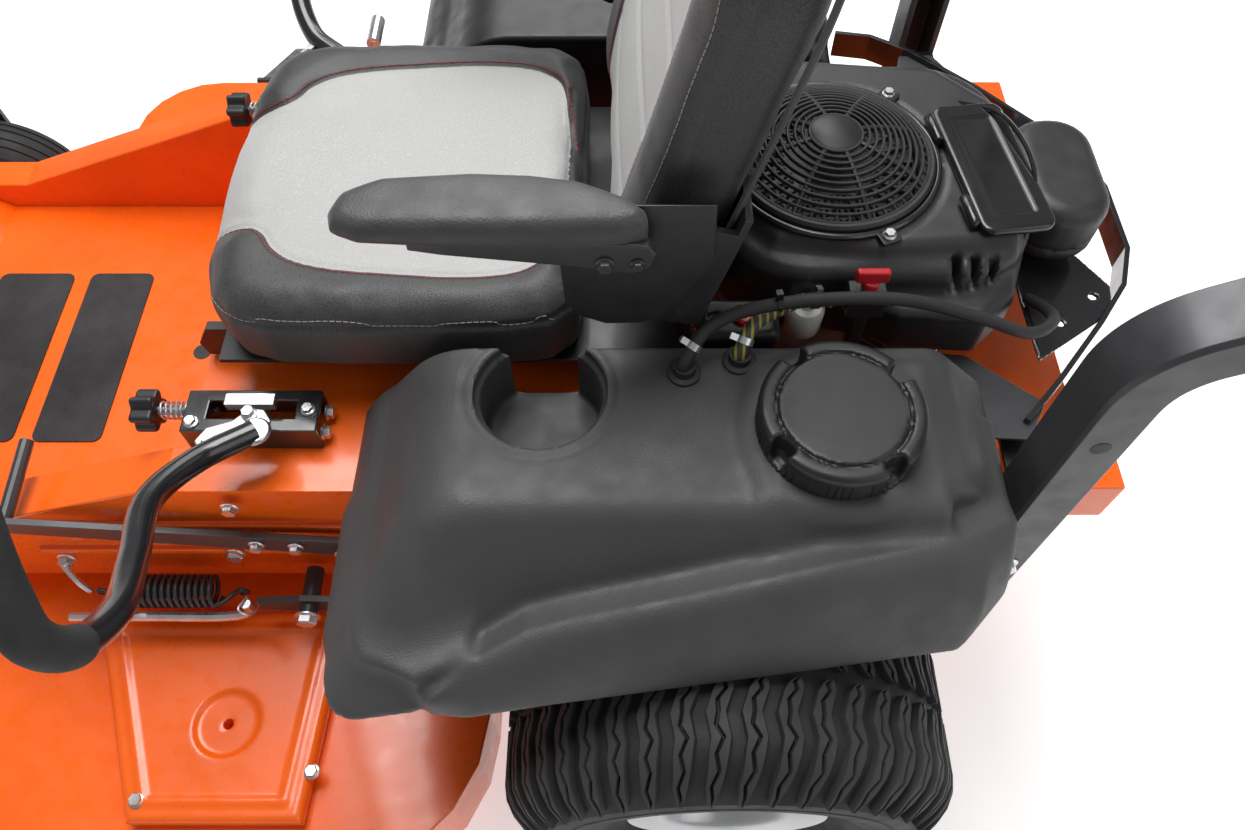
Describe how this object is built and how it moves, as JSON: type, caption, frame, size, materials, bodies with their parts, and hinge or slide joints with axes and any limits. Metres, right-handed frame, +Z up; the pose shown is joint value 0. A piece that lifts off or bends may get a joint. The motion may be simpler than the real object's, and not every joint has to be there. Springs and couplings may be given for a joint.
{
  "type": "zero turn mower",
  "caption": "Ride-on zero turn lawn mower with lever steering, a mid-mounted rotary cutting deck, padded seat, side fuel tank, rear engine and folding roll bar.",
  "frame": {"origin": "middle of the footprint, on the ground", "axes": "+X the way the mower drives, +Y the mower's left, +Z up"},
  "size_m": [1.8884, 1.616, 1.7],
  "materials": {
    "orange_paint": "gloss powder coat",
    "black_paint": "satin black powder coat",
    "zinc_steel": "bright zinc plate",
    "bare_steel": "oiled steel",
    "cast_metal": "as-cast grey",
    "silver_rim": "silver paint",
    "tyre": "moulded rubber",
    "hose_rubber": "matt rubber",
    "tank_plastic": "pebbled rotational moulding",
    "shroud_plastic": "fine grained plastic",
    "black_plastic": "moulded plastic",
    "red_plastic": "gloss plastic",
    "seat_vinyl": "grained vinyl"
  },
  "bodies": {
    "chassis": {"left_rail": "orange_paint", "right_rail": "orange_paint", "front_cross_beam": "orange_paint", "engine_plate": "orange_paint", "foot_pan": "orange_paint", "seat_platform": "orange_paint", "belt_buckle": "black_plastic", "engine_block": "cast_metal", "blower_housing": "shroud_plastic", "fan_grille": "black_plastic", "air_filter_cover": "shroud_plastic", "muffler": "black_paint", "transaxle": "cast_metal", "fuel_tank": "tank_plastic", "fuel_valve": "black_plastic", "fuel_hose": "hose_rubber", "vent_hose": "hose_rubber", "right_fender": "tank_plastic", "left_lever_bracket": "black_paint", "right_lever_bracket": "black_paint", "lift_spring": "black_paint", "left_rops_post": "black_paint", "right_rops_post": "black_paint", "rear_guard": "black_paint"},
    "seat": {"seat_frame": "black_paint", "seat_cushion": "seat_vinyl", "seat_backrest": "seat_vinyl"},
    "left_armrest": {"left_armrest": "seat_vinyl"},
    "right_armrest": {"right_armrest": "seat_vinyl"},
    "buckle_button": {"buckle_button": "red_plastic"},
    "flywheel": {"flywheel": "bare_steel"},
    "flip_cover": {"engine_flip_cover": "black_plastic"},
    "left_drive_wheel": {"left_rear_tyre": "tyre", "left_rear_rim": "silver_rim"},
    "right_drive_wheel": {"right_rear_tyre": "tyre", "right_rear_rim": "silver_rim"},
    "left_caster": {"left_caster_fork": "black_paint"},
    "right_caster": {"right_caster_fork": "black_paint"},
    "left_front_wheel": {"left_front_wheel": "tyre"},
    "right_front_wheel": {"right_front_wheel": "tyre"},
    "fuel_cap": {"fuel_cap": "black_plastic"},
    "valve_knob": {"fuel_valve_knob": "red_plastic"},
    "left_lever_base": {"left_lever_pivot": "zinc_steel"},
    "right_lever_base": {"right_lever_pivot": "zinc_steel"},
    "left_lever": {"left_lever": "black_paint"},
    "right_lever": {"right_lever": "black_paint"},
    "left_tracking_knob": {"left_tracking_knob": "black_plastic"},
    "right_tracking_knob": {"right_tracking_knob": "black_plastic"},
    "lift_pedal": {"lift_pedal": "black_paint"},
    "lift_shaft": {"lift_shaft": "black_paint"},
    "link_rod": {"link_rod": "zinc_steel"},
    "height_pin": {"height_pin": "zinc_steel"},
    "deck": {"deck_shell": "orange_paint", "left_belt_cover": "orange_paint", "right_belt_cover": "orange_paint"},
    "left_blade": {"left_blade": "bare_steel"},
    "centre_blade": {"centre_blade": "bare_steel"},
    "right_blade": {"right_blade": "bare_steel"},
    "chute": {"discharge_chute": "black_plastic"},
    "rops_hoop": {"rops_hoop": "black_paint"}
  },
  "joints": [
    {"name": "seat_tilt", "type": "hinge", "parent": "chassis", "child": "seat", "pos_m": [0.15217, 0.118, 0.524], "axis": [0, 1, 0], "range_deg": [0, 50]},
    {"name": "left_armrest_lift", "type": "hinge", "parent": "seat", "child": "left_armrest", "pos_m": [-0.33183, 0.388, 0.818], "axis": [0, -1, 0], "range_deg": [0, 60]},
    {"name": "left_wheel_spin", "type": "hinge", "parent": "chassis", "child": "left_drive_wheel", "pos_m": [-0.43583, 0.653, 0.254], "axis": [0, 1, 0], "continuous": true},
    {"name": "left_caster_swivel", "type": "hinge", "parent": "chassis", "child": "left_caster", "pos_m": [0.85417, 0.593, 0.33], "axis": [0, 0, 1], "continuous": true},
    {"name": "left_front_wheel_spin", "type": "hinge", "parent": "left_caster", "child": "left_front_wheel", "pos_m": [0.80417, 0.593, 0.14], "axis": [0, 1, 0], "continuous": true},
    {"name": "left_lever_drive", "type": "hinge", "parent": "chassis", "child": "left_lever_base", "pos_m": [0.08517, 0.373, 0.516], "axis": [0, 1, 0], "range_deg": [-12, 12]},
    {"name": "left_lever_swing", "type": "hinge", "parent": "left_lever_base", "child": "left_lever", "pos_m": [0.08517, 0.38, 0.548], "axis": [-1, 0, 0], "range_deg": [-30, 0]},
    {"name": "left_tracking_turn", "type": "hinge", "parent": "chassis", "child": "left_tracking_knob", "pos_m": [0.18417, 0.364, 0.522], "axis": [1, 0, 0], "range_deg": [-180, 180]},
    {"name": "right_armrest_lift", "type": "hinge", "parent": "seat", "child": "right_armrest", "pos_m": [-0.33183, -0.152, 0.818], "axis": [0, -1, 0], "range_deg": [0, 60]},
    {"name": "right_wheel_spin", "type": "hinge", "parent": "chassis", "child": "right_drive_wheel", "pos_m": [-0.43583, -0.417, 0.254], "axis": [0, 1, 0], "continuous": true},
    {"name": "right_caster_swivel", "type": "hinge", "parent": "chassis", "child": "right_caster", "pos_m": [0.85417, -0.357, 0.33], "axis": [0, 0, 1], "continuous": true},
    {"name": "right_front_wheel_spin", "type": "hinge", "parent": "right_caster", "child": "right_front_wheel", "pos_m": [0.80417, -0.357, 0.14], "axis": [0, 1, 0], "continuous": true},
    {"name": "right_lever_drive", "type": "hinge", "parent": "chassis", "child": "right_lever_base", "pos_m": [0.08517, -0.137, 0.516], "axis": [0, 1, 0], "range_deg": [-12, 12]},
    {"name": "right_lever_swing", "type": "hinge", "parent": "right_lever_base", "child": "right_lever", "pos_m": [0.08517, -0.144, 0.548], "axis": [1, 0, 0], "range_deg": [-30, 0]},
    {"name": "right_tracking_turn", "type": "hinge", "parent": "chassis", "child": "right_tracking_knob", "pos_m": [0.18417, -0.128, 0.522], "axis": [1, 0, 0], "range_deg": [-180, 180]},
    {"name": "buckle_press", "type": "slide", "parent": "chassis", "child": "buckle_button", "axis": [0, 0, -1], "range_m": [0, 0.003], "stiffness_N_per_m": 600, "springref_m": -0.001},
    {"name": "crank_spin", "type": "hinge", "parent": "chassis", "child": "flywheel", "pos_m": [-0.54283, 0.144, 0.6], "axis": [0, 0, 1], "continuous": true},
    {"name": "flip_cover_lift", "type": "hinge", "parent": "chassis", "child": "flip_cover", "pos_m": [-0.66883, 0.168, 0.6954], "axis": [-0.1296, 0.9916, 0], "range_deg": [0, 95]},
    {"name": "fuel_cap_turn", "type": "hinge", "parent": "chassis", "child": "fuel_cap", "pos_m": [-0.52083, 0.462, 0.66], "axis": [0, 0, 1], "range_deg": [0, 120]},
    {"name": "fuel_valve_turn", "type": "hinge", "parent": "chassis", "child": "valve_knob", "pos_m": [-0.56483, 0.315, 0.69], "axis": [0, 0, 1], "range_deg": [0, 90]},
    {"name": "deck_lift", "type": "slide", "parent": "chassis", "child": "deck", "axis": [0, 0, 1], "range_m": [-0.07, 0]},
    {"name": "lift_pedal_swing", "type": "hinge", "parent": "chassis", "child": "lift_pedal", "pos_m": [0.00417, 0.47, 0.388], "axis": [0, 1, 0], "range_deg": [-12, 0]},
    {"name": "lift_shaft_turn", "type": "hinge", "parent": "chassis", "child": "lift_shaft", "pos_m": [0.06917, 0.498, 0.3], "axis": [0, 1, 0], "range_deg": [-20, 0]},
    {"name": "link_rod_slide", "type": "slide", "parent": "chassis", "child": "link_rod", "axis": [1, 0, 0], "range_m": [-0.01, 0]},
    {"name": "height_pin_lift", "type": "slide", "parent": "chassis", "child": "height_pin", "axis": [0, 0, 1], "range_m": [0, 0.04]},
    {"name": "left_blade_spin", "type": "hinge", "parent": "deck", "child": "left_blade", "pos_m": [0.12417, 0.563, 0.15], "axis": [0, 0, 1], "continuous": true},
    {"name": "centre_blade_spin", "type": "hinge", "parent": "deck", "child": "centre_blade", "pos_m": [0.30617, 0.118, 0.15], "axis": [0, 0, 1], "continuous": true},
    {"name": "right_blade_spin", "type": "hinge", "parent": "deck", "child": "right_blade", "pos_m": [0.12417, -0.327, 0.15], "axis": [0, 0, 1], "continuous": true},
    {"name": "chute_lift", "type": "hinge", "parent": "deck", "child": "chute", "pos_m": [0.18917, -0.582, 0.202], "axis": [-1, 0, 0], "range_deg": [0, 80]},
    {"name": "rops_fold", "type": "hinge", "parent": "chassis", "child": "rops_hoop", "pos_m": [-0.90583, 0.118, 0.905], "axis": [0, -1, 0], "range_deg": [0, 90]}
  ],
  "couplings": [
    {"joint": "lift_pedal_swing", "follows": "deck_lift", "rad_per_m": 2.992},
    {"joint": "lift_shaft_turn", "follows": "deck_lift", "rad_per_m": 4.9867},
    {"joint": "link_rod_slide", "follows": "deck_lift", "ratio": 0.14286},
    {"joint": "centre_blade_spin", "follows": "left_blade_spin", "ratio": 1},
    {"joint": "right_blade_spin", "follows": "left_blade_spin", "ratio": 1}
  ]
}
